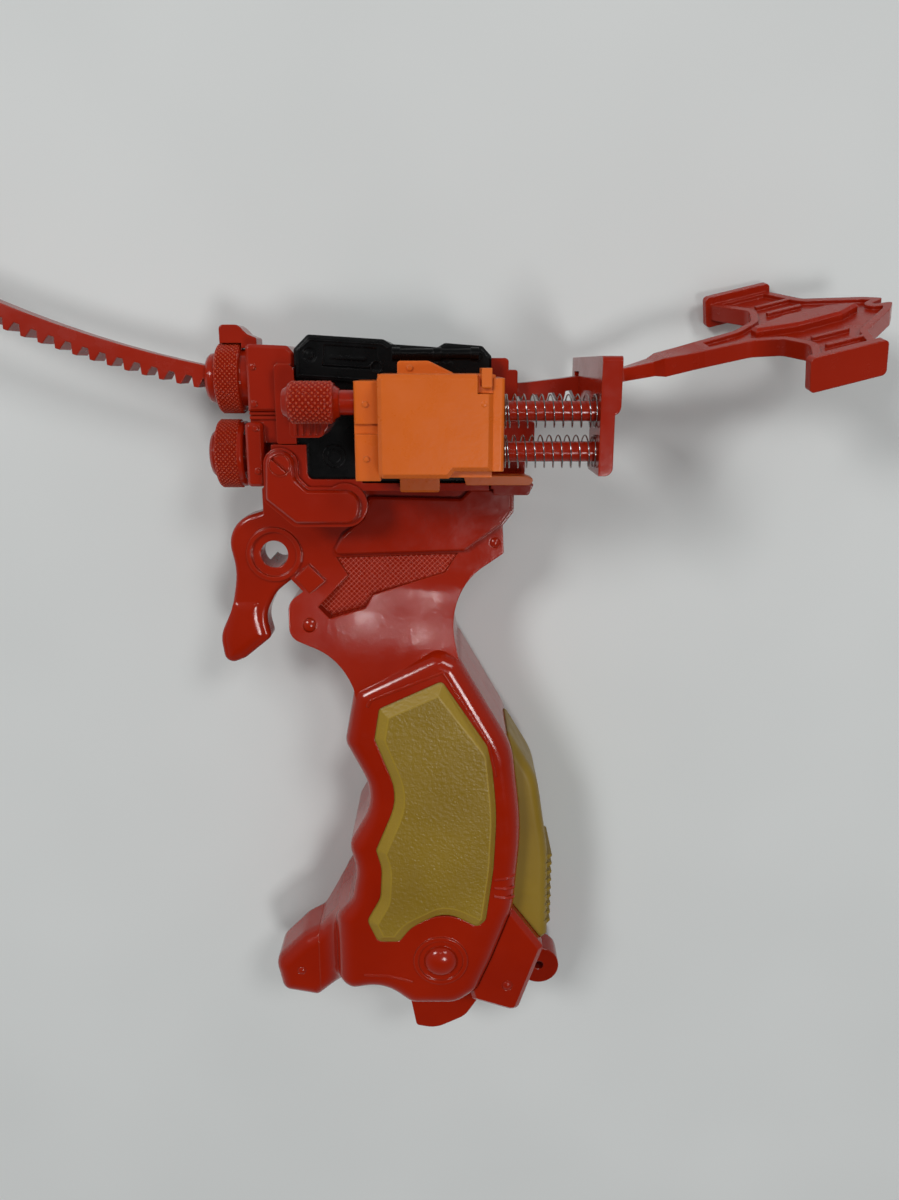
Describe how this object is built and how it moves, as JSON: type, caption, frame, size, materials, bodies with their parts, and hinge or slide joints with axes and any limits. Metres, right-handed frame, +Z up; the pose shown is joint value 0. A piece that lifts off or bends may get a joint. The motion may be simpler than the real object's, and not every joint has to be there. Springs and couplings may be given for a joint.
{
  "type": "ripcord launcher for spinning tops",
  "caption": "Pistol grip with a ripcord launcher: a toothed strip runs over a small gear that turns a clawed hub, beside a sprung plunger box.",
  "frame": {"origin": "where the drive gear's axis meets the surface that the launcher lies on", "axes": "+X to the pull handle, +Y up the grip to the launcher, +Z up, away from the surface, along the gear's axis"},
  "size_m": [0.2002, 0.1747, 0.0468],
  "materials": {
    "red_plastic": "gloss",
    "mustard_plastic": "fine grain",
    "black_plastic": "satin",
    "orange_plastic": "satin",
    "cord_plastic": "satin",
    "white_plastic": "satin",
    "spring_steel": "bright",
    "zinc_steel": "satin"
  },
  "bodies": {
    "grip": {"near_shell": "red_plastic", "far_shell": "red_plastic", "near_inlay": "mustard_plastic", "far_inlay": "mustard_plastic", "near_boss_cap": "red_plastic", "far_boss_cap": "red_plastic", "shell_screws": "zinc_steel", "back_strap": "mustard_plastic", "heel_block": "red_plastic", "toe_cap": "red_plastic", "bottom_lug": "red_plastic", "strap_ring": "red_plastic", "pin_heads": "red_plastic", "link_cover": "red_plastic", "turn_screw": "red_plastic", "cradle": "red_plastic", "front_tower": "red_plastic", "upper_barrel": "red_plastic", "lower_barrel": "red_plastic", "launcher_cover": "black_plastic", "launcher_base": "black_plastic", "launcher_screws": "zinc_steel", "thumb_pad": "red_plastic", "spring_box_base": "orange_plastic", "spring_box_cover": "orange_plastic", "coil_spring_upper": "spring_steel", "coil_spring_lower": "spring_steel"},
    "ripcord": {"ripcord": "cord_plastic"},
    "spinner": {"drive_gear": "white_plastic", "top_hub": "black_plastic", "hub_screw": "zinc_steel"},
    "plunger": {"plunger_plate": "red_plastic", "guide_rod_upper": "red_plastic", "guide_rod_lower": "red_plastic", "rod_collars": "zinc_steel"},
    "knob": {"lock_knob": "red_plastic"},
    "release": {"release_slide": "orange_plastic"}
  },
  "joints": [
    {"name": "ripcord_pull", "type": "hinge", "parent": "grip", "child": "ripcord", "pos_m": [0, 0.206, 0.018], "axis": [0, 0, 1], "range_deg": [0, 34]},
    {"name": "gear_spin", "type": "hinge", "parent": "grip", "child": "spinner", "pos_m": [0, 0, 0.018], "axis": [0, 0, 1], "range_deg": [-1140, 0]},
    {"name": "plunger_press", "type": "slide", "parent": "grip", "child": "plunger", "axis": [-1, 0, 0], "range_m": [0, 0.007], "stiffness_N_per_m": 160, "deforming": ["coil_spring_upper", "coil_spring_lower"]},
    {"name": "knob_turn", "type": "hinge", "parent": "grip", "child": "knob", "pos_m": [-0.017, 0.00735, 0.0386], "axis": [1, 0, 0], "continuous": true},
    {"name": "release_slide", "type": "slide", "parent": "grip", "child": "release", "axis": [-1, 0, 0], "range_m": [0, 0.0022]}
  ],
  "couplings": [
    {"joint": "gear_spin", "follows": "ripcord_pull", "ratio": -33.333}
  ]
}
